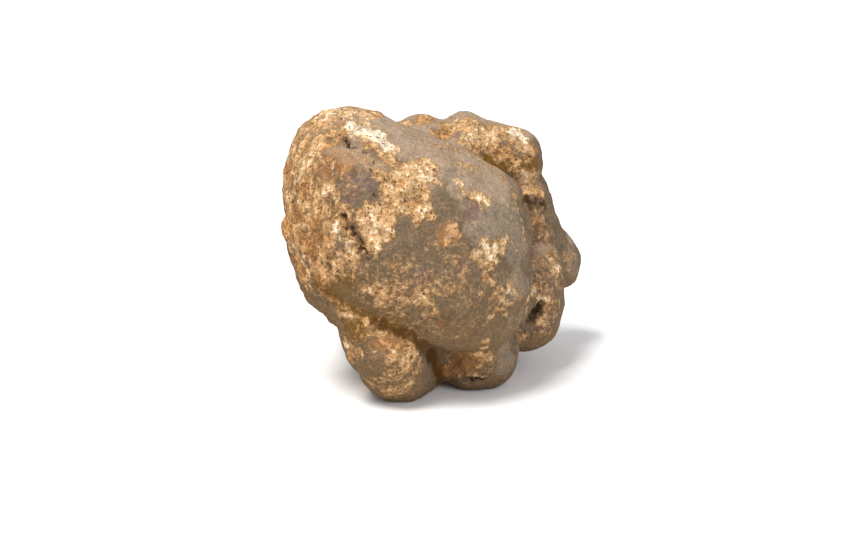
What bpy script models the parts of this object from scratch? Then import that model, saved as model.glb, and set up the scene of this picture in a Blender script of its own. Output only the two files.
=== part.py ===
"""A large white truffle, one fruit body that grew as a single knobbly piece.

The body is a heap of swollen lobes that grew into each other. Each lobe starts as a stretched ball
with a slightly uneven skin. The balls are fused into one body, the folds between them are softened,
and the skin then gets its swells, folds, cracks and pits. It stands on three small flats, one under
each of its lowest lobes.

Sizes are in millimetres here and become metres in the mesh. X runs to the right, Y away from the
viewer and Z up. The origin is the middle of the footprint box, on the resting plane.
"""

import bmesh
import bpy
from math import exp, radians
from mathutils import Euler, Matrix, Vector, geometry, noise

MM = 0.001

# The grain of the fused skin, how often the folds between the groups of lobes are smoothed, and how
# far each smoothing goes
FUSE_GRAIN = 0.9
FOLD_SOFTENING = 9
SOFTENING_STRENGTH = 0.5
BALL_FINENESS = 5

# How many triangles the skin keeps, and the height under which a triangle is a sliver and goes
SKIN_TRIANGLES = 10800
SLIVER = 0.12

# How much of the lowest lobes is pressed flat
FOOT_PRESS = 0.9

SKIN_COLOUR = (0.33, 0.19, 0.095, 1.0)
SKIN_ROUGHNESS = 0.85

# The lobes in groups that swelled together. Each group: how often its own folds are smoothed, and
# its lobes as centre (x, y, z), half sizes (x, y, z), and lean about Y in degrees
LOBE_GROUPS = {
    "face": (110, {
        "main": ((-7.9, -8.0, 43.8), (36.2, 28.0, 26.4), 47),
        "right": ((4.2, -7.0, 43.2), (22.6, 20.5, 21.8), 0),
        "right_top": ((3.0, -4.0, 57.2), (10.4, 11.0, 10.2), 0),
        "chin": ((6.6, -8.0, 31.7), (20.2, 20.0, 20.0), 0),
        "chin_right": ((12.5, -7.0, 25.6), (14.0, 14.0, 14.0), 0),
        "left_cheek": ((-18.9, -9.0, 43.6), (20.3, 20.0, 21.2), 0),
        "temple": ((-23.4, -7.0, 53.9), (13.4, 14.0, 14.0), 0),
        "brow": ((-22.6, -7.0, 62.2), (16.1, 15.5, 16.7), 0),
        "brow_right": ((-9.3, -4.0, 59.6), (11.0, 12.0, 10.8), 0),
        "neck": ((-23.2, -7.0, 29.7), (17.4, 13.0, 10.7), 52),
    }),
    "left_foot": (50, {
        "ankle": ((-12.7, -20.5, 20.4), (11.6, 12.2, 12.6), 0),
        "instep": ((-19.0, -20.5, 28.2), (8.2, 10.0, 7.4), 0),
        "arch": ((-10.6, -17.0, 14.0), (10.6, 12.5, 11.0), 0),
        "ball": ((-8.8, -13.0, 10.2), (10.6, 12.0, 11.6), 0),
        "sole": ((-3.6, -8.6, 7.2), (8.8, 9.5, 8.4), 0),
    }),
    "right_foot": (30, {
        "ball": ((12.6, -5.0, 9.1), (11.4, 11.5, 10.6), 0),
        "inner": ((4.8, -3.6, 8.4), (8.5, 9.0, 7.8), 0),
    }),
    "side": (30, {
        "main": ((25.3, 9.0, 21.2), (11.3, 14.0, 15.4), 0),
        "low": ((19.5, 6.0, 14.0), (8.5, 9.5, 8.0), 0),
        "high": ((27.0, 12.0, 27.5), (9.0, 11.0, 9.5), 0),
    }),
    "shoulder": (40, {
        "main": ((21.0, 16.0, 44.4), (12.5, 12.8, 12.6), 0),
        "flank": ((27.7, 20.0, 35.4), (8.4, 10.5, 9.0), 0),
        "lug": ((33.6, 23.5, 26.8), (8.6, 9.5, 8.4), 0),
    }),
    "crest": (40, {
        "root": ((-3.4, 10.0, 62.7), (12.2, 10.5, 9.0), 0),
        "main": ((8.0, 12.0, 61.4), (10.9, 11.0, 10.6), 0),
        "mid": ((15.8, 13.0, 60.2), (9.4, 10.0, 9.1), 0),
        "knob": ((22.5, 14.0, 59.4), (8.3, 8.8, 8.2), 0),
    }),
    "core": (30, {
        "main": ((5.0, 7.0, 41.0), (16.0, 13.0, 19.0), 0),
    }),
    "back": (60, {
        "main": ((-4.0, 12.0, 40.0), (28.0, 21.0, 28.0), 0),
        "nape": ((-15.0, 17.0, 53.0), (13.0, 12.5, 13.0), 0),
        "hip": ((-21.0, 15.0, 31.0), (12.5, 12.0, 16.0), 20),
        "haunch": ((15.0, 22.0, 26.0), (15.0, 11.0, 15.0), 0),
    }),
    "saddle": (40, {
        "left": ((-9.0, 26.0, 43.0), (14.0, 8.0, 9.0), 25),
        "right": ((6.0, 27.5, 38.0), (10.0, 8.0, 8.0), 0),
    }),
    "rump": (30, {
        "main": ((-6.0, 25.0, 25.0), (12.0, 9.5, 9.0), -20),
    }),
    "heel": (30, {
        "main": ((-6.0, 20.0, 12.0), (12.8, 12.3, 12.4), 0),
        "spur": ((4.0, 22.0, 14.0), (9.0, 9.0, 8.5), 0),
    }),
}

# A lobe's own unevenness, as a share of its size, how many lumps go round it, and how far apart the
# lobes and the groups lie in the noise, so that no two are alike
LOBE_UNEVENNESS = 0.07
LOBE_LUMPS = 1.8
LOBE_NOISE_STEP = 11.3
GROUP_NOISE_STEP = 7.7

# Swells over the whole skin: how wide one is, and how far it rises or sinks
SWELLS = ((14.0, 1.0), (6.5, 0.5))

# Folds and cracks: half width, depth, height of the lips beside them, and the points they run through
FOLDS = {
    "crevice": (2.2, 1.0, 0.2, (
        (-24.2, -20.1, 73.0), (-20.8, -22.7, 72.1), (-17.9, -24.7, 70.7), (-14.9, -26.0, 69.3))),
    "crack": (2.1, 1.0, 0.2, ((-22.4, -32.6, 54.9), (-19.9, -34.0, 51.6), (-17.9, -34.8, 46.8))),
    "slit": (1.6, 0.9, 0.2, ((7.4, -14.6, 5.3), (9.8, -15.1, 4.6), (12.5, -15.6, 5.4))),
    "foot_groove": (2.8, 2.2, 0.0, ((-0.4, -20.0, 16.0), (0.6, -15.5, 10.2), (1.2, -14.0, 7.0))),
    "ear": (2.0, 2.8, 0.4, ((28.6, -2.2, 22.2), (26.8, -4.6, 19.2))),
    "crest_groove": (2.5, 0.8, 0.2, ((4.0, 3.0, 68.5), (5.0, 8.0, 71.5), (4.0, 14.0, 72.0))),
    "back_seam": (2.8, 1.7, 0.4, (
        (-22.0, 27.0, 50.0), (-12.0, 34.0, 36.0), (0.0, 36.0, 31.0), (12.0, 34.0, 30.0))),
    "nape_seam": (2.6, 1.3, 0.3, ((-2.0, 26.0, 58.0), (-4.0, 31.0, 50.0), (2.0, 34.0, 44.0))),
}

# How far out the lips lie, in half widths of their fold
LIP_REACH = 2.0


def clear_scene():
    for thing in list(bpy.data.objects):
        bpy.data.objects.remove(thing, do_unlink=True)


def mesh_object(name, heap):
    """A new object in the scene that holds what the bmesh holds."""
    mesh = bpy.data.meshes.new(name)
    heap.to_mesh(mesh)
    heap.free()
    thing = bpy.data.objects.new(name, mesh)
    bpy.context.scene.collection.objects.link(thing)
    return thing


def lobe_heap(name, lobes, group_noise):
    """The lobes of one group as separate uneven stretched balls."""
    heap = bmesh.new()
    for number, (centre, half, lean) in enumerate(lobes.values()):
        own_noise = Vector((LOBE_NOISE_STEP * number, group_noise, 0.0))
        place = Matrix.Translation(centre) @ Euler((0, radians(lean), 0)).to_matrix().to_4x4()
        stretch = Matrix.Diagonal((*half, 1.0))
        ball = bmesh.ops.create_icosphere(heap, subdivisions=BALL_FINENESS, radius=1.0)["verts"]
        for vert in ball:
            lump = noise.noise(vert.co * LOBE_LUMPS + own_noise)
            vert.co *= 1.0 + LOBE_UNEVENNESS * lump
        bmesh.ops.transform(heap, matrix=place @ stretch, verts=ball)
    return mesh_object(name, heap)


def bake_modifiers(thing):
    """Replaces the object's mesh by its evaluated one and drops the modifiers."""
    graph = bpy.context.evaluated_depsgraph_get()
    baked = bpy.data.meshes.new_from_object(thing.evaluated_get(graph))
    old = thing.data
    thing.modifiers.clear()
    thing.data = baked
    bpy.data.meshes.remove(old)


def fuse(thing, softening):
    """Makes one closed skin of balls that cross, and smooths the folds between them."""
    skin = thing.modifiers.new("fuse", "REMESH")
    skin.mode = "VOXEL"
    skin.voxel_size = FUSE_GRAIN
    soften = thing.modifiers.new("soften folds", "SMOOTH")
    soften.factor = SOFTENING_STRENGTH
    soften.iterations = softening
    bake_modifiers(thing)


def whole_body():
    """Fuses each group of lobes, then the groups with each other."""
    heap = bmesh.new()
    for number, (name, (softening, lobes)) in enumerate(LOBE_GROUPS.items()):
        group = lobe_heap(name, lobes, GROUP_NOISE_STEP * number)
        fuse(group, softening)
        heap.from_mesh(group.data)
        bpy.data.objects.remove(group, do_unlink=True)
    body = mesh_object("white_truffle", heap)
    fuse(body, FOLD_SOFTENING)
    return body


def distance_to_stretch(place, start, end):
    """How far a place is from the straight stretch between two points."""
    share = geometry.intersect_point_line(place, start, end)[1]
    nearest = start.lerp(end, min(max(share, 0.0), 1.0))
    return (place - nearest).length


def distance_to_line(place, points):
    """How far a place is from a line through the points."""
    corners = [Vector(point) for point in points]
    return min(distance_to_stretch(place, start, end) for start, end in zip(corners, corners[1:]))


def hump(distance, half_width):
    """1 on the line, falling smoothly to nothing past about two half widths."""
    return exp(-(distance / half_width) ** 2)


def rise(place):
    """How far the skin stands proud of the smooth lobes at a place."""
    height = sum(noise.noise(place / width) * swell for width, swell in SWELLS)
    for half_width, depth, lip, points in FOLDS.values():
        distance = distance_to_line(place, points)
        height -= depth * hump(distance, half_width)
        height += lip * hump(distance - LIP_REACH * half_width, half_width)
    return height


def work_skin(thing):
    """Moves each point of the skin in or out along its normal."""
    skin = bmesh.new()
    skin.from_mesh(thing.data)
    skin.normal_update()
    moves = [vert.normal * rise(vert.co) for vert in skin.verts]
    for vert, move in zip(skin.verts, moves):
        vert.co += move
    skin.to_mesh(thing.data)
    skin.free()


def thin_skin(thing):
    """Keeps the form with far fewer triangles."""
    triangles = sum(len(face.vertices) - 2 for face in thing.data.polygons)
    thin = thing.modifiers.new("thin", "DECIMATE")
    thin.ratio = SKIN_TRIANGLES / triangles
    thin.use_collapse_triangulate = True
    relax = thing.modifiers.new("even out", "SMOOTH")
    relax.factor = SOFTENING_STRENGTH
    relax.iterations = 1
    bake_modifiers(thing)


def press_feet(thing):
    """Cuts the lowest lobes to flats on one plane and closes them."""
    skin = bmesh.new()
    skin.from_mesh(thing.data)
    everything = skin.verts[:] + skin.edges[:] + skin.faces[:]
    plane = Vector((0.0, 0.0, FOOT_PRESS))
    bmesh.ops.bisect_plane(
        skin, geom=everything, dist=SLIVER, plane_co=plane, plane_no=(0, 0, 1),
        use_snap_center=True, clear_inner=True)
    rims = [edge for edge in skin.edges if edge.is_boundary]
    flats = bmesh.ops.holes_fill(skin, edges=rims, sides=0)["faces"]
    bmesh.ops.triangulate(skin, faces=flats)
    bmesh.ops.dissolve_degenerate(skin, dist=SLIVER, edges=skin.edges[:])
    bmesh.ops.triangulate(skin, faces=skin.faces[:])
    for vert in skin.verts:
        if vert.co.z < FOOT_PRESS + SLIVER:
            vert.co.z = FOOT_PRESS
    skin.to_mesh(thing.data)
    skin.free()


def centre_on_footprint(thing):
    """Moves the middle of the footprint box to the origin, and the flats to the resting plane."""
    corners = [Vector(corner) for corner in thing.bound_box]
    low = Vector(map(min, zip(*corners)))
    high = Vector(map(max, zip(*corners)))
    thing.data.transform(Matrix.Translation((-(low.x + high.x) / 2, -(low.y + high.y) / 2, -low.z)))


def dress(thing):
    """Earth-stained pale ochre skin, matt all over."""
    skin = bpy.data.materials.new("truffle_skin")
    skin.use_nodes = True
    finish = skin.node_tree.nodes["Principled BSDF"]
    finish.inputs["Base Color"].default_value = SKIN_COLOUR
    finish.inputs["Roughness"].default_value = SKIN_ROUGHNESS
    finish.inputs["Metallic"].default_value = 0.0
    thing.data.materials.append(skin)
    thing.data.shade_smooth()


def main():
    clear_scene()
    truffle = whole_body()
    work_skin(truffle)
    thin_skin(truffle)
    press_feet(truffle)
    centre_on_footprint(truffle)
    truffle.data.transform(Matrix.Scale(MM, 4))
    dress(truffle)


main()
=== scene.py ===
"""A large white truffle on a pale floor: one knobbly fruit body, its pale ochre skin under dried earth."""

import bmesh
import bpy
import numpy as np
from math import cos, radians, sin
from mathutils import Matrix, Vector, noise
from mathutils.bvhtree import BVHTree


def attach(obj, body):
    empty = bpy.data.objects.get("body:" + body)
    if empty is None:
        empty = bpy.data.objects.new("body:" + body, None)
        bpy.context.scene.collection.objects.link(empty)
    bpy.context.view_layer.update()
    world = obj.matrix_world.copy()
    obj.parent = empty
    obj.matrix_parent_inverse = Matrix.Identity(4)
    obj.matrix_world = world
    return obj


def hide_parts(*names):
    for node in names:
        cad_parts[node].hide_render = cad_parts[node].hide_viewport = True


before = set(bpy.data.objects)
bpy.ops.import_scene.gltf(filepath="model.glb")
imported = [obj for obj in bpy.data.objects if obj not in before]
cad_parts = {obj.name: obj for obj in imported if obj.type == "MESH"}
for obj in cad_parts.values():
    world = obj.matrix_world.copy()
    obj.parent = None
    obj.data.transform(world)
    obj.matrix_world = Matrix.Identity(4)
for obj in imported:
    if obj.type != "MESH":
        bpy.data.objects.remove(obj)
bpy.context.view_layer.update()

# Camera. It looks at the truffle's broad front face from 0.6 m away and a little above, through a
# long lens, so that the lobes keep their true proportions.
MM = 0.001
PICTURE_WIDTH = 850
PICTURE_HEIGHT = 560
PIXEL_AT_AIM = 0.27 * MM
VIEW_DISTANCE = 600 * MM
VIEW_ELEVATION = radians(18)
AIM = Vector((-2.85, 0.42, 27.7)) * MM
NEAREST_SEEN = 10 * MM

view_back = Vector((0.0, -cos(VIEW_ELEVATION), sin(VIEW_ELEVATION)))
eye = AIM + view_back * VIEW_DISTANCE
camera_data = bpy.data.cameras.new("camera")
camera_data.lens = camera_data.sensor_width * VIEW_DISTANCE / (PIXEL_AT_AIM * PICTURE_WIDTH)
camera_data.clip_start = NEAREST_SEEN
camera = bpy.data.objects.new("camera", camera_data)
camera.location = eye
camera.rotation_euler = view_back.to_track_quat("Z", "Y").to_euler()
bpy.context.scene.collection.objects.link(camera)
bpy.context.scene.camera = camera

# Floor and light. A plain pale floor without an edge in view, a soft lamp above and to the left, a
# weaker one to the right, and a pale room all round.
FLOOR_HALF = 3.0
FLOOR_COLOUR = (0.88, 0.875, 0.87, 1.0)
FLOOR_ROUGHNESS = 0.9
ROOM_COLOUR = (1.0, 1.0, 1.0, 1.0)
ROOM_STRENGTH = 0.55

# Each lamp's place, width, power and colour
LAMPS = {
    "key": ((-0.7, -0.75, 2.1), 0.8, 62.0, (1.0, 0.985, 0.96)),
    "fill": ((1.3, -1.2, 1.0), 1.0, 14.0, (0.94, 0.97, 1.06)),
}

floor_shape = bmesh.new()
bmesh.ops.create_grid(floor_shape, x_segments=1, y_segments=1, size=FLOOR_HALF)
floor_mesh = bpy.data.meshes.new("floor")
floor_shape.to_mesh(floor_mesh)
floor_shape.free()
floor = bpy.data.objects.new("floor", floor_mesh)
bpy.context.scene.collection.objects.link(floor)
floor_paint = bpy.data.materials.new("pale_floor")
floor_paint.use_nodes = True
floor_shader = floor_paint.node_tree.nodes["Principled BSDF"]
floor_shader.inputs["Base Color"].default_value = FLOOR_COLOUR
floor_shader.inputs["Roughness"].default_value = FLOOR_ROUGHNESS
floor_mesh.materials.append(floor_paint)

room = bpy.data.worlds.new("pale_room")
room.use_nodes = True
room_light = room.node_tree.nodes["Background"]
room_light.inputs["Color"].default_value = ROOM_COLOUR
room_light.inputs["Strength"].default_value = ROOM_STRENGTH
bpy.context.scene.world = room
bpy.context.scene.view_settings.view_transform = "Standard"

for lamp_name, (lamp_place, lamp_size, lamp_power, lamp_colour) in LAMPS.items():
    lamp_data = bpy.data.lights.new(lamp_name, "AREA")
    lamp_data.size = lamp_size
    lamp_data.energy = lamp_power
    lamp_data.color = lamp_colour
    lamp = bpy.data.objects.new(lamp_name, lamp_data)
    lamp.location = lamp_place
    lamp.rotation_euler = (Vector(lamp_place) - AIM).to_track_quat("Z", "Y").to_euler()
    bpy.context.scene.collection.objects.link(lamp)

# The fruit body. A firm knobbly truffle, grown as one piece under the ground, with an ochre skin under a
# film of dried earth. The CAD solid's skin is taken over and made fine and even, and then it is worked like
# the real one, with crisper folds, soft swells, wrinkles, cracks and pits.
MERGE_DISTANCE = 0.001 * MM
SKIN_GRAIN = 0.555 * MM
SMOOTHING = 0.5
EVENING_STEPS = 5
FOLD_STEPS = 115
SETTLING_STEPS = 22
SETTLED_HOLLOWS = (0.1 * MM, 0.8 * MM)
FACING_FRONT = (-0.12, 0.15)
SEED_SHIFT = (3.17, 1.73, 5.39)
LUMP_FADING = 0.8
LUMP_FINER_BY = 2.0

body_shape = bmesh.new()
body_shape.from_mesh(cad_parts["white_truffle"].data)
bmesh.ops.remove_doubles(body_shape, verts=body_shape.verts, dist=MERGE_DISTANCE)
cad_skin = BVHTree.FromBMesh(body_shape)
body_mesh = bpy.data.meshes.new("truffle_body")
body_shape.to_mesh(body_mesh)
body_shape.free()
body = bpy.data.objects.new("truffle_body", body_mesh)
bpy.context.scene.collection.objects.link(body)


def evened(steps):
    """The body's mesh with its live modifiers and that many steps of smoothing."""
    smooth = body.modifiers.new("smooth", "SMOOTH")
    smooth.factor = SMOOTHING
    smooth.iterations = steps
    mesh = bpy.data.meshes.new_from_object(body.evaluated_get(bpy.context.evaluated_depsgraph_get()))
    body.modifiers.clear()
    return mesh


def points_of(mesh):
    """The places and the outward directions of all points of a mesh."""
    places = np.empty(len(mesh.vertices) * 3, np.float32)
    mesh.vertices.foreach_get("co", places)
    outward = np.empty(len(mesh.vertices) * 3, np.float32)
    mesh.vertex_normals.foreach_get("vector", outward)
    return places.reshape(-1, 3).astype(float), outward.reshape(-1, 3).astype(float)


def smoothed_places(steps):
    """Where the body's points lie after that many steps of smoothing."""
    mesh = evened(steps)
    places = points_of(mesh)[0]
    bpy.data.meshes.remove(mesh)
    return places


def move_points(places):
    """Moves the body's points to those places."""
    body.data.vertices.foreach_set("co", places.astype(np.float32).ravel())
    body.data.update()


def lumps(places, width, seed, octaves=1):
    """Smooth random lumps of about that width, from about -1 to 1."""
    shift = Vector([seed * share for share in SEED_SHIFT])
    spread = [Vector(place) / width + shift for place in places]
    if octaves == 1:
        return np.array([noise.noise(place) for place in spread])
    return np.array([noise.fractal(place, LUMP_FADING, LUMP_FINER_BY, octaves) for place in spread])


def on_skin(across, down):
    """The place on the CAD skin that the front view shows at a pixel of the picture."""
    right = Vector((1.0, 0.0, 0.0))
    up = view_back.cross(right)
    aside = (across - PICTURE_WIDTH / 2) * PIXEL_AT_AIM
    above = (PICTURE_HEIGHT / 2 - down) * PIXEL_AT_AIM
    place = cad_skin.ray_cast(eye, AIM + right * aside + up * above - eye)[0]
    return np.array(place) if place is not None else None


def ramp(values, low, high):
    """Rises smoothly from 0 at low to 1 at high."""
    share = np.clip((values - low) / (high - low), 0.0, 1.0)
    return share * share * (3.0 - 2.0 * share)


def spots(places, marks):
    """How far inside the nearest of the round marks (across, down, radius) each place lies."""
    inside = np.full(len(places), -1.0)
    for across, down, radius in marks:
        centre = on_skin(across, down)
        if centre is not None:
            away = np.linalg.norm(places - centre, axis=1)
            inside = np.maximum(inside, 1.0 - away / (radius * PIXEL_AT_AIM))
    return inside


def stroke(places, marks):
    """How far each place is from the line through the marks (across, down)."""
    corners = [corner for corner in (on_skin(*mark) for mark in marks) if corner is not None]
    nearest = np.full(len(places), 1.0)
    for start, end in zip(corners, corners[1:]):
        along = end - start
        share = np.clip((places - start) @ along / (along @ along), 0.0, 1.0)
        nearest = np.minimum(nearest, np.linalg.norm(places - start - share[:, None] * along, axis=1))
    return nearest


finer = body.modifiers.new("finer", "SUBSURF")
finer.levels = 2
finer.render_levels = 2
even = body.modifiers.new("even grain", "REMESH")
even.mode = "VOXEL"
even.voxel_size = SKIN_GRAIN
body.data = evened(EVENING_STEPS)
bpy.data.meshes.remove(body_mesh)
body.data.name = "truffle_body"

# How deep in a fold each point lies, once the folds' rough bottoms have settled
places, outward = points_of(body.data)
soft_places = smoothed_places(FOLD_STEPS)
hollow = np.sum((soft_places - places) * outward, axis=1)
places += (smoothed_places(SETTLING_STEPS) - places) * ramp(hollow, *SETTLED_HOLLOWS)[:, None]
move_points(places)
places, outward = points_of(body.data)
hollow = np.sum((soft_places - places) * outward, axis=1)
faces_front = ramp(outward @ np.array(view_back), *FACING_FRONT)

# Cracks, pits and raised lips: half width and depth in pixels of the front view, how dark their insides are
# painted with earth and painted shade, and where they run. A lip's depth is below nothing, and so is its
# darkness, as its skin is rubbed bare.
# Their lines wander, by a width, a seed and a reach, and so do the edges of all marks.
RAGGED_WIDTH = 1.4 * MM
RAGGEDNESS = 1.3
BROKEN_WIDTH = 1.9 * MM
BROKEN_MIDDLE = 0.95
BROKEN_SHARE = 0.35
WANDERS = ((3.0 * MM, 10, 1.6 * MM), (1.3 * MM, 13, 0.6 * MM))
CRACK_WANDER = 0.5
CRACKS = {
    "crevice": (2.2, 2.6, 1.0, ((338, 137), (344, 141), (348, 145))),
    "crevice_line": (1.6, 2.4, 0.95, ((347, 143), (353, 146), (360, 149), (367, 152))),
    "crevice_dip": (3.2, 2.0, 1.1, ((340, 138), (344, 140))),
    "crevice_hollow": (5.0, 1.4, 0.0, ((345, 145), (356, 150), (370, 156), (378, 160))),
    "crack_top": (2.3, 2.2, 0.8, ((336, 214), (341, 216), (345, 221))),
    "crack": (2.5, 3.4, 1.05, ((345, 221), (347, 227), (352, 230), (354, 236))),
    "crack_low": (2.4, 3.2, 1.1, ((355, 239), (359, 242), (361, 248), (364, 252))),
    "crack_hollow": (5.5, 1.8, 0.0, ((342, 219), (350, 229), (358, 240), (364, 252))),
    "left_crease": (2.6, 1.8, 0.1, ((304, 172), (303, 186), (306, 200), (306, 218), (304, 238))),
    "rim_crease": (2.4, 1.6, 0.15, ((291, 196), (289, 212), (291, 228), (294, 246))),
    "cheek_line": (2.0, 1.6, 0.4, ((318, 196), (324, 201), (329, 206), (333, 212))),
    "cheek_hook": (1.8, 1.6, 0.3, ((337, 192), (338, 200), (333, 207))),
    "jaw_crease": (2.4, 1.8, 0.2, ((322, 244), (327, 258), (329, 272))),
    "slit": (1.7, 3.4, 1.2, ((464, 380.5), (470, 380), (476, 379.5), (482, 380))),
}
PITS = {
    "ear": (3.0, 4.5, 1.0, ((540, 303), (537, 308), (533, 312), (530, 316))),
    "ear_low": (2.8, 3.5, 0.8, ((522, 322), (520, 328))),
    "shoulder_pit": (3.6, 3.4, 0.85, ((524, 201), (531, 203), (538, 203), (546, 205))),
    "crest_dimple": (4.5, 2.5, 0.35, ((451, 129), (453, 133))),
    "crevice_end": (2.4, 2.4, 0.8, ((371, 169), (372, 173))),
    "cheek_dent": (2.8, 2.2, 0.9, ((373, 194), (375, 195))),
    "face_dent": (2.6, 2.2, 0.8, ((402, 197), (407, 198))),
    "face_dent_high": (2.2, 1.8, 0.7, ((392, 183), (396, 184))),
    "face_dent_low": (2.0, 1.6, 0.7, ((398, 205), (399, 206))),
    "crack_pit_high": (2.2, 2.0, 0.9, ((341, 215), (342, 216))),
    "crack_pit_mid": (1.8, 1.8, 0.8, ((352, 239), (353, 241))),
    "crevice_pit": (1.8, 1.6, 0.8, ((372, 159), (373, 161))),
    "brow_pore": (1.6, 1.4, 0.8, ((341, 129), (342, 130))),
    "brow_pore_low": (1.6, 1.4, 0.8, ((336, 146), (337, 147))),
    "crack_pit": (2.0, 2.0, 0.9, ((333, 214), (334, 216))),
    "crack_pit_low": (2.2, 2.0, 0.9, ((368, 259), (369, 261))),
    "film_line": (1.2, 1.4, 0.5, ((474, 232), (480, 233), (486, 232))),
    "film_pit": (1.5, 1.4, 0.4, ((468, 164), (469, 165))),
    "film_pit_right": (1.5, 1.4, 0.4, ((477, 166), (478, 167))),
    "film_pit_low": (1.6, 1.4, 0.4, ((487, 216), (488, 217))),
    "film_pit_edge": (1.6, 1.2, 0.5, ((500, 205), (503, 207))),
    "chin_pit": (1.8, 1.6, 0.5, ((447, 300), (449, 301))),
    "chin_pit_low": (1.8, 1.6, 0.5, ((462, 318), (464, 319))),
}
LIPS = {
    "crevice_lip": (2.6, -1.8, -0.6, ((347, 133), (356, 138), (364, 142), (374, 148))),
    "brow_ridge": (3.0, -2.0, -0.3, ((322, 140), (326, 130), (334, 121), (345, 117), (357, 118))),
    "crack_lip_left": (2.4, -2.2, -0.9, ((333, 223), (338, 231), (344, 239), (350, 247), (356, 256))),
    "crack_lip_right": (2.4, -1.8, -0.6, ((350, 217), (357, 225), (363, 233), (369, 243))),
    "cheek_ridge": (2.8, -1.6, -0.5, ((326, 187), (332, 194), (336, 204))),
    "face_edge": (2.0, -1.6, -0.8, (
        (438, 147), (456, 151), (475, 158), (492, 169), (505, 183), (515, 199), (521, 218), (524, 238))),
    "jaw_ridge": (2.6, -1.8, -0.7, ((312, 292), (324, 296), (336, 301), (346, 306))),
    "ankle_ridge": (2.6, -1.6, -0.8, ((336, 312), (348, 314), (362, 318))),
    "slit_lip": (2.2, -2.2, -1.3, ((459, 377), (468, 375.5), (478, 376.5))),
    "side_rim": (2.0, -1.6, -0.6, ((550, 257), (557, 264), (561, 274), (563, 288))),
    "ear_lip": (1.8, -2.0, -0.6, ((533, 303), (530, 308), (527, 313))),
    "ear_lip_right": (1.8, -2.0, -0.5, ((546, 304), (543, 311), (538, 317))),
    "foot_ridge": (3.0, -1.8, -0.5, ((414, 344), (419, 352), (421, 362), (420, 374))),
}
raggedness = lumps(places, RAGGED_WIDTH, seed=4, octaves=3)
broken = BROKEN_MIDDLE + BROKEN_SHARE * lumps(places, BROKEN_WIDTH, seed=6, octaves=2)
wander = np.zeros_like(places)
for width, seed, reach in WANDERS:
    wander += np.stack([lumps(places, width, seed + axis) for axis in range(3)], axis=1) * reach
wandered = places + wander
cracks = np.zeros(len(places))
crack_earth_and_shade = np.zeros(len(places))
rubbed = np.zeros(len(places))
for half_width, depth, darkness, marks in {**CRACKS, **PITS, **LIPS}.values():
    away = stroke(places + CRACK_WANDER * wander, marks) * np.exp(RAGGEDNESS * raggedness)
    profile = np.exp(-(away / (half_width * PIXEL_AT_AIM)) ** 2) * broken
    cracks -= depth * PIXEL_AT_AIM * profile
    # How dark the inside is painted: earth and painted shade
    crack_earth_and_shade = np.maximum(crack_earth_and_shade, darkness * profile)
    rubbed = np.maximum(rubbed, -darkness * profile)

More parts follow.
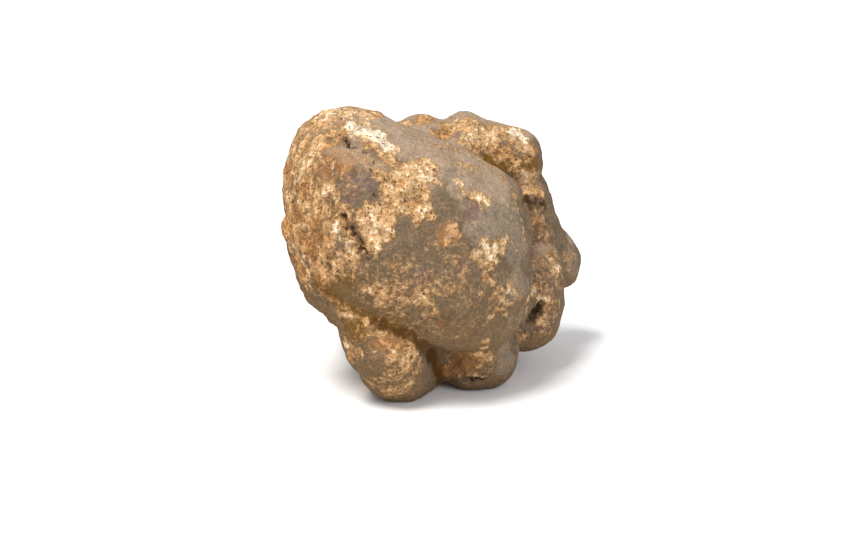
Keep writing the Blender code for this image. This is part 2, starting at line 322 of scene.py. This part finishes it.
# Where the earth has rubbed off: how much, and round marks by pixel of the front view and radius in pixels.
# Their edges are frayed, and the sides that the front view doesn't show get patches of the same kind.
BARE_FRAYING = (-0.55, 0.55)
BARE_PATCH_WIDTH = 11 * MM
BARE_PATCH_EDGE = (-0.2, 0.55)
BARE_PATCH_SHARE = 0.95
BARE_EVERYWHERE = 0.12
BARE = {
    "brow": (1.0, (
        (357, 133, 7), (368, 134, 10), (380, 136, 10), (388, 146, 8), (373, 143, 8), (376, 149, 6),
        (383, 155, 6), (388, 160, 7), (395, 165, 7), (352, 126, 8), (366, 124, 8))),
    "cheek": (1.15, (
        (404, 165, 7), (414, 168, 8), (424, 163, 8), (432, 168, 8), (433, 178, 8), (421, 175, 10),
        (409, 176, 10), (396, 178, 10), (386, 182, 8), (382, 175, 7), (392, 192, 11), (404, 190, 11),
        (417, 190, 11), (427, 196, 6), (396, 205, 10), (408, 208, 9), (386, 205, 7), (418, 207, 9),
        (428, 210, 7), (417, 217, 7), (425, 216, 6))),
    "crack_sides": (0.75, (
        (341, 223, 6), (345, 229, 6), (350, 236, 6), (355, 243, 6), (360, 250, 5), (330, 212, 7),
        (336, 207, 6), (345, 212, 6), (353, 218, 7))),
    "under_crack": (1.1, (
        (388, 214, 8), (378, 212, 9), (368, 212, 8), (364, 220, 9), (372, 224, 11), (383, 222, 9),
        (388, 230, 8), (380, 235, 9), (370, 235, 9), (363, 228, 7), (368, 244, 7), (378, 243, 7),
        (368, 252, 6), (376, 258, 5), (336, 230, 6), (342, 238, 6), (348, 246, 5), (354, 252, 4))),
    "low_speckled": (0.30, (
        (345, 275, 20), (365, 290, 20), (360, 265, 16), (470, 295, 18), (440, 325, 16), (415, 330, 12),
        (475, 325, 14), (330, 300, 14), (390, 312, 14), (455, 255, 18), (430, 245, 12), (365, 330, 16),
        (355, 350, 14), (380, 360, 16), (375, 385, 14))),
    "brow_speckled": (0.42, (
        (316, 158, 12), (330, 160, 14), (345, 158, 14), (358, 160, 14), (372, 165, 12), (340, 172, 12),
        (330, 178, 12), (350, 190, 10))),
    "film_speckled": (0.19, (
        (490, 190, 24), (505, 215, 24), (518, 245, 22), (520, 285, 20), (515, 325, 20), (470, 175, 18),
        (450, 160, 16), (425, 140, 18), (505, 350, 16), (470, 230, 16), (410, 130, 14))),
    "left": (0.95, (
        (300, 132, 20), (320, 118, 20), (344, 112, 18), (368, 112, 16), (386, 116, 12), (402, 124, 10),
        (288, 158, 18), (308, 148, 18), (328, 138, 14), (345, 128, 12), (285, 180, 20), (284, 190, 22),
        (286, 202, 20), (300, 178, 14), (289, 205, 14), (298, 200, 14), (312, 200, 12), (292, 230, 16),
        (300, 228, 16), (316, 226, 12), (294, 254, 16), (308, 250, 16), (326, 244, 14), (304, 274, 14),
        (320, 272, 14), (334, 268, 12), (298, 288, 9), (324, 262, 15), (340, 258, 12), (312, 188, 14),
        (318, 212, 14), (330, 228, 10), (352, 262, 9), (346, 212, 8), (312, 164, 12), (302, 164, 14))),
    "jaw": (1.0, (
        (326, 190, 9), (332, 198, 8), (322, 200, 7), (337, 210, 5), (316, 275, 6), (311, 270, 5),
        (329, 262, 5), (322, 294, 4), (330, 298, 5), (337, 301, 4), (340, 314, 5), (348, 315, 6),
        (357, 317, 5), (366, 322, 4), (376, 322, 4))),
    "chin_speckled": (0.42, (
        (380, 290, 20), (405, 290, 22), (425, 288, 20), (400, 268, 16), (445, 290, 14), (428, 312, 10),
        (400, 312, 10), (500, 305, 12), (478, 300, 10), (460, 270, 12))),
    "chin": (0.92, (
        (372, 290, 8), (380, 294, 9), (388, 299, 9), (382, 303, 7), (397, 290, 7), (416, 293, 8),
        (424, 297, 9), (420, 303, 7), (403, 300, 7), (407, 316, 4), (422, 322, 3), (430, 306, 4),
        (462, 277, 5), (458, 262, 4), (452, 322, 4), (457, 337, 4), (396, 268, 4))),
    "right": (1.12, (
        (487, 248, 10), (480, 252, 8), (495, 246, 9), (504, 243, 8), (508, 238, 5), (502, 251, 5),
        (488, 259, 7), (495, 264, 5), (481, 266, 5), (487, 275, 7), (493, 281, 4), (450, 230, 7),
        (446, 238, 6), (455, 236, 5))),
    "ring": (0.95, (
        (496, 293, 5), (494, 299, 4), (500, 288, 4), (508, 288, 5), (516, 292, 5), (518, 299, 5),
        (514, 304, 4), (505, 303, 4), (498, 310, 5), (492, 316, 4), (503, 316, 4))),
    "high_right": (0.9, (
        (457, 182, 5), (461, 188, 5), (475, 197, 6), (483, 198, 6), (480, 203, 5), (466, 164, 5),
        (475, 166, 5), (459, 163, 4), (469, 172, 4), (486, 341, 5), (486, 349, 5), (447, 143, 4))),
    "edge": (0.78, (
        (436, 144, 4), (446, 145, 4), (456, 148, 4), (466, 151, 4), (475, 155, 4), (484, 160, 4),
        (493, 167, 4), (502, 177, 4), (510, 187, 4))),
    "left_foot_wide": (0.6, (
        (350, 350, 12), (385, 335, 12), (400, 350, 16), (412, 362, 14), (396, 372, 12), (390, 392, 14),
        (410, 385, 12), (373, 385, 8))),
    "left_foot": (1.05, (
        (346, 346, 5), (352, 345, 5), (358, 350, 4), (360, 356, 4), (380, 336, 6), (372, 334, 4),
        (388, 330, 5), (377, 328, 4), (410, 343, 7), (402, 349, 7), (405, 356, 8), (394, 357, 8),
        (415, 352, 7), (400, 364, 6), (410, 366, 6), (392, 348, 5), (416, 372, 5), (384, 381, 5),
        (409, 384, 5), (388, 391, 5), (378, 388, 4), (404, 392, 5))),
    "right_foot_wide": (0.42, ((460, 362, 15), (474, 362, 13), (466, 376, 10), (450, 366, 8), (488, 365, 8))),
    "right_foot_lip": (1.2, ((461, 377.5, 3.5), (467, 376.5, 3.5), (473, 376, 3.5), (479, 376.5, 3.5))),
    "right_foot": (1.0, ((478, 355, 6), (486, 358, 5), (480, 365, 5))),
    "crest_wide": (0.98, (
        (452, 126, 14), (470, 124, 14), (488, 130, 14), (506, 134, 14), (522, 142, 12), (474, 140, 12),
        (492, 146, 10), (425, 118, 12), (405, 112, 10), (440, 135, 8), (530, 155, 8))),
    "crest": (1.0, (
        (456, 121, 5), (452, 117, 4), (518, 132, 7), (525, 137, 7), (510, 130, 6), (500, 134, 5),
        (474, 137, 6), (487, 141, 5), (466, 131, 5), (530, 144, 5), (460, 140, 5), (480, 128, 4))),
    "side_wide": (0.48, (
        (538, 262, 14), (545, 280, 16), (540, 300, 12), (550, 310, 16), (545, 330, 12), (520, 335, 10),
        (545, 235, 14), (538, 222, 14), (552, 250, 12), (572, 262, 14))),
    "shoulder": (0.95, (
        (522, 176, 10), (530, 178, 10), (530, 188, 9), (538, 190, 8), (515, 165, 8), (505, 155, 8))),
    "side": (0.95, (
        (534, 292, 6), (541, 297, 6), (546, 302, 6), (550, 260, 7), (555, 270, 7), (557, 282, 7),
        (543, 318, 6), (529, 300, 6), (527, 310, 4), (546, 310, 5))),
}

# Where the skin or the earth is paler, rustier, greyer, more purple or more olive, and where shade is painted
# into folds and hollows
COLOUR_FRAYING = (-0.3, 0.5)
COLOUR_PATCH_WIDTH = 9 * MM
COLOUR_PATCH_EDGE = (0.0, 0.5)
PALE = (
    (350, 112, 18), (330, 112, 14), (370, 118, 16), (362, 131, 14), (378, 136, 14), (290, 150, 10),
    (388, 148, 10), (425, 172, 14), (328, 194, 10), (340, 236, 10), (518, 134, 12), (488, 252, 14),
    (504, 242, 10), (510, 294, 14), (456, 121, 8), (346, 346, 7), (486, 348, 6), (458, 184, 8),
    (480, 199, 8), (535, 294, 8), (524, 138, 8))
PALE_CHEEK = (
    (400, 178, 12), (420, 176, 12), (372, 222, 14), (378, 240, 10), (425, 207, 8), (300, 165, 12),
    (290, 178, 10), (315, 155, 12), (488, 135, 14), (470, 140, 12), (526, 178, 12), (488, 262, 12),
    (495, 250, 12), (294, 232, 12))
PALE_LIPS = (
    (338, 228, 5), (343, 235, 5), (348, 242, 5), (352, 249, 4), (448, 231, 9), (543, 300, 6),
    (528, 308, 5), (555, 268, 6), (461, 377.5, 4), (467, 376.5, 4), (473, 376, 4), (479, 376.5, 4))
CREAM = (
    (362, 130, 12), (376, 135, 13), (386, 144, 10), (350, 124, 8), (515, 132, 9), (523, 137, 8),
    (456, 120, 6))
RUST = (
    (289, 226, 12), (300, 236, 10), (316, 228, 12), (326, 238, 8), (308, 242, 8), (300, 270, 13),
    (291, 258, 10), (318, 280, 9), (288, 172, 12), (296, 215, 12), (286, 240, 12), (304, 188, 9),
    (312, 250, 12), (330, 152, 12), (345, 162, 10), (325, 172, 8), (447, 233, 12), (488, 276, 6),
    (461, 362, 15), (452, 372, 10), (470, 364, 13), (394, 338, 13), (376, 345, 8), (350, 356, 7),
    (335, 299, 12), (322, 290, 8), (404, 184, 5), (414, 200, 5), (430, 185, 5), (530, 168, 8),
    (536, 148, 6), (440, 322, 5))
RUST_CREST = (
    (512, 156, 10), (498, 150, 8), (440, 130, 12), (425, 122, 10), (540, 225, 10))
GREY = (
    (490, 190, 26), (505, 215, 26), (518, 245, 22), (520, 285, 20), (515, 325, 20), (505, 345, 14),
    (440, 165, 14), (455, 180, 18), (430, 135, 14), (480, 225, 20), (508, 368, 16), (574, 262, 16))
PURPLE = (
    (336, 168, 12), (352, 182, 16), (345, 198, 10), (366, 186, 12), (470, 210, 12), (420, 275, 16),
    (540, 265, 20), (548, 290, 18), (550, 315, 16), (542, 332, 14), (545, 238, 16), (462, 268, 12))
OLIVE = (
    (328, 288, 20), (346, 300, 16), (352, 326, 20), (372, 310, 14), (388, 318, 12), (404, 326, 12),
    (424, 336, 14), (436, 352, 14), (438, 372, 12), (352, 368, 18), (366, 386, 16), (345, 280, 14),
    (452, 343, 8), (520, 166, 10), (534, 166, 8), (492, 160, 12), (505, 168, 10), (412, 328, 14))
# Faint painted shade below the crest, in the shoulder's pit and under the chin
FAINT_PAINTED_SHADE_SPOTS = (
    (528, 203, 8), (536, 204, 8), (545, 206, 7), (488, 160, 7), (498, 167, 7), (507, 174, 7),
    (515, 184, 6), (520, 193, 6), (352, 172, 8), (340, 180, 8), (446, 318, 14), (402, 330, 8),
    (414, 330, 8), (318, 232, 10))
# Painted shade in the fold under the chin, in the groove between the feet and in the shoulder's pit
PAINTED_SHADE_SPOTS = (
    (419, 346, 8), (424, 347, 10), (428, 350, 11), (430, 353, 11), (434, 360, 9), (372, 321, 5),
    (379, 323, 5), (386, 325, 6), (393, 328, 6), (400, 331, 6), (407, 335, 6), (414, 339, 7),
    (421, 344, 7), (427, 350, 8), (432, 356, 8), (435, 364, 8), (438, 372, 8), (440, 380, 7),
    (527, 203, 9))

# For each colour: the seed and amount of its patches all round, and the amounts and marks of the front
COLOUR_MARKS = {
    "pale": (31, 1.0, ((1.0, PALE), (0.65, PALE_CHEEK), (1.5, PALE_LIPS), (2.1, CREAM))),
    "rust": (32, 1.0, ((1.0, RUST), (0.5, RUST_CREST))),
    "grey": (33, 0.5, ((1.0, GREY),)),
    "purple": (34, 0.8, ((1.0, PURPLE),)),
    "olive": (35, 0.35, ((1.0, OLIVE),)),
    "painted_fold_shade": (36, 0.0, ((0.45, FAINT_PAINTED_SHADE_SPOTS), (1.0, PAINTED_SHADE_SPOTS))),
}
bare_front = rubbed.copy()
for amount, marks in BARE.values():
    bare_front = np.maximum(bare_front, amount * ramp(spots(wandered, marks), *BARE_FRAYING))
patches = ramp(lumps(wandered, BARE_PATCH_WIDTH, seed=30, octaves=2), *BARE_PATCH_EDGE)
bare_round = BARE_PATCH_SHARE * patches + BARE_EVERYWHERE
bare = bare_front * faces_front + bare_round * (1.0 - faces_front)

marks_on_skin = {"bare": bare}
for mark_name, (seed, round_amount, groups) in COLOUR_MARKS.items():
    front = np.zeros(len(places))
    for amount, marks in groups:
        front = np.maximum(front, amount * ramp(spots(wandered, marks), *COLOUR_FRAYING))
    patches = round_amount * ramp(lumps(wandered, COLOUR_PATCH_WIDTH, seed, 2), *COLOUR_PATCH_EDGE)
    marks_on_skin[mark_name] = front * faces_front + patches * (1.0 - faces_front)

# The relief: deeper folds, broad swells, grain on the bare skin and drawn-out wrinkles on the left side.
# The film of earth is left standing round the bare patches, and the flats stay on the ground. Grain,
# wrinkle, swell and back lobe are each given by their height and width.
# How deep in the folds their olive earth and painted shade begin and are full
FOLD_SHADE_RAGGEDNESS = 0.25 * MM
FOLD_SHADE_DEPTHS = (0.25 * MM, 1.5 * MM)
FOLD_DEEPENING = 0.55
BACK_DEEPENING = 0.5
FACING_BACK = (-0.5, 0.05)
LEFT_SIDE = (16 * MM, 30 * MM)
COARSE_GRAIN = (0.20 * MM, 2.3 * MM)
FINE_GRAIN = (0.17 * MM, 1.25 * MM)
GRAIN_UNDER_EARTH = 0.55
GRAIN_ON_BARE = 0.95
WRINKLE = (0.50 * MM, 1.8 * MM)
WRINKLE_DRAWING = np.array((1.0, 1.0, 0.32))
SWELL = (0.55 * MM, 5.5 * MM)
BACK_LOBE = (2.2 * MM, 12 * MM)
BACK_LOBE_CREASE = 0.08
BACK_LOBE_MIDDLE = 0.28
EARTH_FILM = 0.12 * MM

# The left rim's notch and bulges: half width and height in pixels of the front view, and where they run
RIM_SWELLS = {
    "notch": (12.0, -5.5, ((283, 190), (283.5, 196), (285, 203))),
    "bulge": (8.0, 6.0, ((287, 223), (288, 230), (290, 238))),
    "low_rim": (12.0, 4.5, ((302, 280), (306, 288), (311, 297))),
}

# Where the folds get olive earth and painted shade, by how deep each point lies
fold = ramp(hollow + FOLD_SHADE_RAGGEDNESS * raggedness, *FOLD_SHADE_DEPTHS)
grain = COARSE_GRAIN[0] * lumps(places, COARSE_GRAIN[1], seed=2)
grain += FINE_GRAIN[0] * lumps(places, FINE_GRAIN[1], seed=3)
grain *= GRAIN_UNDER_EARTH + GRAIN_ON_BARE * bare
left_side = ramp(-places[:, 0], *LEFT_SIDE) * faces_front
grain += WRINKLE[0] * left_side * lumps(places * WRINKLE_DRAWING, WRINKLE[1], seed=5, octaves=2)
swell = SWELL[0] * lumps(places, SWELL[1], seed=1)
for half_width, height, marks in RIM_SWELLS.values():
    away = stroke(places, marks)
    swell += height * PIXEL_AT_AIM * np.exp(-(away / (half_width * PIXEL_AT_AIM)) ** 2)
faces_back = 1.0 - ramp(outward @ np.array(view_back), *FACING_BACK)
back_lobes = np.hypot(lumps(places, BACK_LOBE[1], seed=8), BACK_LOBE_CREASE) - BACK_LOBE_MIDDLE
swell += BACK_LOBE[0] * faces_back * back_lobes
places += outward * (swell + grain + cracks - EARTH_FILM * bare)[:, None]
deepening = FOLD_DEEPENING + BACK_DEEPENING * faces_back
places -= outward * (deepening * np.maximum(hollow, 0.0))[:, None]
places[:, 2] = np.maximum(places[:, 2], 0.0)
move_points(places)
body.data.shade_smooth()

# What the finish needs to know of the shape: dust lies on what faces up, and shade is painted on what faces
# down
RELIEF_RANGE = 0.5 * MM
DUST_WIDTH = 5 * MM
DUST_FRAYING = 0.25
DUST_SLOPES = (0.35, 0.95)
# How frayed and how steep the painted shade on the downward-facing sides is
UNDERSIDE_SHADE_FRAYING = 0.15
UNDERSIDE_SHADE_SLOPES = (-0.1, 0.7)

upward = outward[:, 2]
dust_edge = DUST_FRAYING * lumps(places, DUST_WIDTH, seed=40, octaves=2)
underside_shade_edge = UNDERSIDE_SHADE_FRAYING * lumps(places, DUST_WIDTH, seed=41, octaves=2)
marks_on_skin["crack_earth_and_shade"] = crack_earth_and_shade
marks_on_skin["fold"] = fold
marks_on_skin["relief"] = 0.5 + grain / RELIEF_RANGE
marks_on_skin["dusty"] = ramp(upward + dust_edge, *DUST_SLOPES)
marks_on_skin["painted_underside_shade"] = ramp(-upward + underside_shade_edge, *UNDERSIDE_SHADE_SLOPES)
for mark_name, values in marks_on_skin.items():
    attribute = body.data.attributes.new(mark_name, "FLOAT", "POINT")
    attribute.data.foreach_set("value", values.astype(np.float32))

# The skin's finish. Dry matt earth, olive to grey, runs over rusty stains into mottled ochre and cream
# skin with small dark pores; everything is rough, the bare skin a little less so.
FILM_BROWN = (0.149, 0.103, 0.061, 1.0)
FILM_GREY = (0.214, 0.174, 0.124, 1.0)
FILM_PURPLE = (0.158, 0.104, 0.080, 1.0)
FILM_WARM = (0.262, 0.162, 0.085, 1.0)
FILM_COOL = (0.120, 0.098, 0.062, 1.0)
FILM_RUST = (0.290, 0.138, 0.055, 1.0)
FILM_DUST = (0.330, 0.240, 0.165, 1.0)
FILM_OLIVE = (0.150, 0.076, 0.015, 1.0)
FILM_UNDERSIDE_SHADE = (0.164, 0.102, 0.051, 1.0)
FILM_SPECK = (0.420, 0.310, 0.200, 1.0)
SKIN_STAIN = (0.190, 0.090, 0.036, 1.0)
SKIN_OCHRE = (0.385, 0.210, 0.086, 1.0)
SKIN_ORANGE = (0.430, 0.200, 0.068, 1.0)
SKIN_PALE = (0.520, 0.330, 0.165, 1.0)
SKIN_MILK = (0.800, 0.680, 0.540, 1.0)
SKIN_CREAM = (0.740, 0.590, 0.410, 1.0)
PORE_BROWN = (0.070, 0.034, 0.016, 1.0)
DEEP_BROWN_EARTH_AND_SHADE = (0.045, 0.024, 0.012, 1.0)
FOLD_OLIVE_AND_SHADE = (0.165, 0.083, 0.017, 1.0)
FOLD_EARTH_AND_SHADE = (0.074, 0.031, 0.005, 1.0)
COARSE = 3.6 * MM
TINT = 2.6 * MM
MEDIUM = 1.8 * MM
FINE = 0.95 * MM
GRIT = 0.45 * MM
COBBLE = 1.25 * MM
COBBLE_SOFTNESS = 0.35
COBBLE_STRAYING = 0.9 * MM
COBBLE_STRAY_WIDTH = 1.5 * MM
LARGE_PORES = 2.4 * MM
SMALL_PORES = 1.1 * MM
CREAM_PORES = 1.5 * MM
SPECKS = 1.9 * MM
GLOSS = 0.12
BUMP_HEIGHT = 1.0 * MM

finish = bpy.data.materials.new("truffle_skin")
finish.use_nodes = True
nodes = finish.node_tree.nodes
links = finish.node_tree.links
shader = nodes["Principled BSDF"]
where = nodes.new("ShaderNodeTexCoord")


def grains(size, detail, roughness):
    """A noise of that size in the skin's finish, from 0 to 1."""
    node = nodes.new("ShaderNodeTexNoise")
    node.inputs["Scale"].default_value = 1.0 / size
    node.inputs["Detail"].default_value = detail
    node.inputs["Roughness"].default_value = roughness
    links.new(where.outputs["Object"], node.inputs["Vector"])
    return node.outputs["Fac"]


def mark(name):
    """One of the marks that the skin's points carry."""
    node = nodes.new("ShaderNodeAttribute")
    node.attribute_name = name
    return node.outputs["Fac"]


def calc(operation, a, b=0.0, c=None):
    """A sum on values, each a socket or a number."""
    node = nodes.new("ShaderNodeMath")
    node.operation = operation
    for number, value in enumerate((a, b) if c is None else (a, b, c)):
        if isinstance(value, (int, float)):
            node.inputs[number].default_value = value
        else:
            links.new(value, node.inputs[number])
    return node.outputs["Value"]


def stirred(value, grain, amount):
    """A value raised and lowered by a grain around its middle."""
    return calc("MULTIPLY_ADD", calc("SUBTRACT", grain, 0.5), amount, value)


def band(value, low, high, start=0.0, end=1.0):
    """Smoothly from start where the value is low to end where it is high."""
    node = nodes.new("ShaderNodeMapRange")
    node.interpolation_type = "SMOOTHSTEP"
    node.inputs["From Min"].default_value = low
    node.inputs["From Max"].default_value = high
    node.inputs["To Min"].default_value = start
    node.inputs["To Max"].default_value = end
    links.new(value, node.inputs["Value"])
    return node.outputs["Result"]


def blend(amount, a, b):
    """One colour over another, each a socket or a colour."""
    node = nodes.new("ShaderNodeMix")
    node.data_type = "RGBA"
    links.new(amount, node.inputs["Factor"])
    for name, value in (("A", a), ("B", b)):
        socket = [entry for entry in node.inputs if entry.name == name and entry.type == "RGBA"][0]
        if isinstance(value, tuple):
            socket.default_value = value
        else:
            links.new(value, socket)
    return [entry for entry in node.outputs if entry.type == "RGBA"][0]


def scaled(colour, tone):
    """A colour made lighter or darker."""
    node = nodes.new("ShaderNodeVectorMath")
    node.operation = "SCALE"
    links.new(colour, node.inputs[0])
    links.new(tone, node.inputs["Scale"])
    return node.outputs["Vector"]


def pores(spacing, low, high, share):
    """Small round pores that far apart, a share of them left out."""
    cells = nodes.new("ShaderNodeTexVoronoi")
    cells.inputs["Scale"].default_value = 1.0 / spacing
    links.new(where.outputs["Object"], cells.inputs["Vector"])
    chance = nodes.new("ShaderNodeSeparateColor")
    links.new(cells.outputs["Color"], chance.inputs["Color"])
    hole = band(cells.outputs["Distance"], low, high, 1.0, 0.0)
    return calc("MULTIPLY", hole, band(chance.outputs["Red"], share, share + 0.05))


coarse = grains(COARSE, detail=3.0, roughness=0.6)
medium = grains(MEDIUM, detail=3.0, roughness=0.65)
fine = grains(FINE, detail=3.0, roughness=0.65)
grit = grains(GRIT, detail=2.0, roughness=0.6)
tint = grains(TINT, detail=4.0, roughness=0.75)

# Cobbles: little rounded grains of skin, close together, from 0 in the gaps to 1 on top
strayed = nodes.new("ShaderNodeTexNoise")
strayed.inputs["Scale"].default_value = 1.0 / COBBLE_STRAY_WIDTH
links.new(where.outputs["Object"], strayed.inputs["Vector"])
astray = nodes.new("ShaderNodeVectorMath")
astray.operation = "MULTIPLY_ADD"
astray.inputs[1].default_value = (COBBLE_STRAYING, COBBLE_STRAYING, COBBLE_STRAYING)
links.new(strayed.outputs["Color"], astray.inputs[0])
links.new(where.outputs["Object"], astray.inputs[2])
cobbles = nodes.new("ShaderNodeTexVoronoi")
cobbles.feature = "SMOOTH_F1"
cobbles.inputs["Scale"].default_value = 1.0 / COBBLE
cobbles.inputs["Smoothness"].default_value = COBBLE_SOFTNESS
links.new(astray.outputs["Vector"], cobbles.inputs["Vector"])
cobble = band(cobbles.outputs["Distance"], 0.15, 0.75, 1.0, 0.0)

# How bare each place is, from under the film at 0 to clean skin at 1, and how pale its skin is
bareness = stirred(stirred(stirred(mark("bare"), fine, 0.9), medium, 0.8), mark("relief"), 0.35)
bareness = stirred(stirred(bareness, cobble, 0.14), grit, 0.5)
shows = band(bareness, 0.05, 0.85)
hue = stirred(stirred(calc("MULTIPLY_ADD", bareness, 0.36, 0.42), fine, 1.3), cobble, 0.24)
hue = stirred(hue, medium, 0.9)
hue = calc("MULTIPLY_ADD", mark("rust"), -0.24, calc("MULTIPLY_ADD", mark("pale"), 0.27, hue))
skin = blend(band(hue, 0.25, 0.60), SKIN_STAIN, SKIN_OCHRE)
skin = blend(band(hue, 0.60, 0.98), skin, SKIN_PALE)
skin = blend(band(hue, 0.95, 1.35), skin, SKIN_CREAM)
skin = blend(band(mark("pale"), 1.1, 2.0, 0.0, 0.35), skin, SKIN_MILK)
skin = blend(calc("MULTIPLY", mark("rust"), 0.45), skin, SKIN_ORANGE)
# The skin's tone: random grit, and painted light on the raised grain with painted shade in its hollows
skin_tone_and_grain_shade = calc("MULTIPLY", band(grit, 0.25, 0.75, 0.76, 1.24), band(mark("relief"), 0.1, 0.9, 0.80, 1.20))

# The film of earth: brown, with grey, purple, rusty, dusty and olive places, and painted shade where it faces
# down
film = blend(band(stirred(mark("grey"), coarse, 1.4), 0.1, 1.0), FILM_BROWN, FILM_GREY)
film = blend(band(stirred(mark("purple"), coarse, 1.6), 0.2, 1.1), film, FILM_PURPLE)
film = blend(band(stirred(mark("rust"), medium, 1.4), 0.2, 1.0), film, FILM_RUST)
film = blend(band(tint, 0.48, 0.70, 0.0, 0.65), film, FILM_WARM)
film = blend(band(tint, 0.30, 0.50, 0.55, 0.0), film, FILM_COOL)
film = blend(band(stirred(mark("dusty"), tint, 0.8), 0.0, 1.0, 0.0, 0.9), film, FILM_DUST)
film = blend(band(stirred(mark("olive"), coarse, 1.4), 0.1, 0.9), film, FILM_OLIVE)
# Painted shade on the film where it faces down, less where it is rusty
underside_shade_share = calc("MULTIPLY", mark("painted_underside_shade"), band(mark("rust"), 0.2, 0.8, 1.0, 0.1))
film = blend(underside_shade_share, film, FILM_UNDERSIDE_SHADE)
film_tone = calc("MULTIPLY", band(medium, 0.25, 0.75, 0.84, 1.16), band(fine, 0.25, 0.75, 0.80, 1.20))
film_tone = calc("MULTIPLY", film_tone, band(grit, 0.25, 0.75, 0.84, 1.16))
film = blend(calc("MULTIPLY", pores(SPECKS, 0.07, 0.13, 0.6), 0.7), film, FILM_SPECK)

# Film and skin together, then pores, then earth and painted shade in the folds, cracks and pits, and painted
# shade in folds and hollows under the chin and between the feet
colour = blend(shows, scaled(film, film_tone), scaled(skin, skin_tone_and_grain_shade))
large_pore = pores(LARGE_PORES, 0.12, 0.20, 0.4)
small_pore = pores(SMALL_PORES, 0.15, 0.29, 0.35)
cream_pore = calc("MULTIPLY", pores(CREAM_PORES, 0.15, 0.24, 0.15), band(mark("pale"), 1.1, 1.6))
pore = calc("MAXIMUM", calc("MAXIMUM", large_pore, small_pore), cream_pore)
pore = calc("MULTIPLY", pore, band(bareness, 0.50, 0.80))
colour = blend(calc("MULTIPLY", pore, 0.82), colour, PORE_BROWN)
# Olive earth and painted shade in the folds, darkest where they are deepest
in_fold = stirred(mark("fold"), medium, 0.8)
colour = blend(band(in_fold, 0.10, 0.80, 0.0, 0.75), colour, FOLD_OLIVE_AND_SHADE)
colour = blend(band(in_fold, 0.60, 1.30, 0.0, 0.6), colour, FOLD_EARTH_AND_SHADE)
# Painted shade in folds and hollows, most under the chin and between the feet
colour = blend(band(stirred(mark("painted_fold_shade"), medium, 0.8), 0.15, 0.90, 0.0, 0.85), colour, FOLD_EARTH_AND_SHADE)
# Dark earth and painted shade inside the cracks and pits
colour = blend(band(stirred(mark("crack_earth_and_shade"), fine, 1.6), 0.30, 0.90, 0.0, 0.9), colour, DEEP_BROWN_EARTH_AND_SHADE)
links.new(colour, shader.inputs["Base Color"])

# Matt earth, slightly smoother skin, and a low relief of grain, cobbles, grit and pores
links.new(calc("MULTIPLY_ADD", shows, -0.15, 0.95), shader.inputs["Roughness"])
shader.inputs["Specular IOR Level"].default_value = GLOSS
height = calc("MULTIPLY", fine, calc("MULTIPLY_ADD", shows, 0.35, 0.45))
height = calc("MULTIPLY_ADD", cobble, calc("MULTIPLY_ADD", shows, 0.13, 0.03), height)
height = calc("MULTIPLY_ADD", grit, 0.20, height)
height = calc("MULTIPLY_ADD", shows, -0.05, height)
height = calc("MULTIPLY_ADD", pore, -0.16, height)
relief = nodes.new("ShaderNodeBump")
relief.inputs["Strength"].default_value = 1.0
relief.inputs["Distance"].default_value = BUMP_HEIGHT
links.new(height, relief.inputs["Height"])
links.new(relief.outputs["Normal"], shader.inputs["Normal"])
body.data.materials.clear()
body.data.materials.append(finish)

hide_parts("white_truffle")
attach(body, "root")
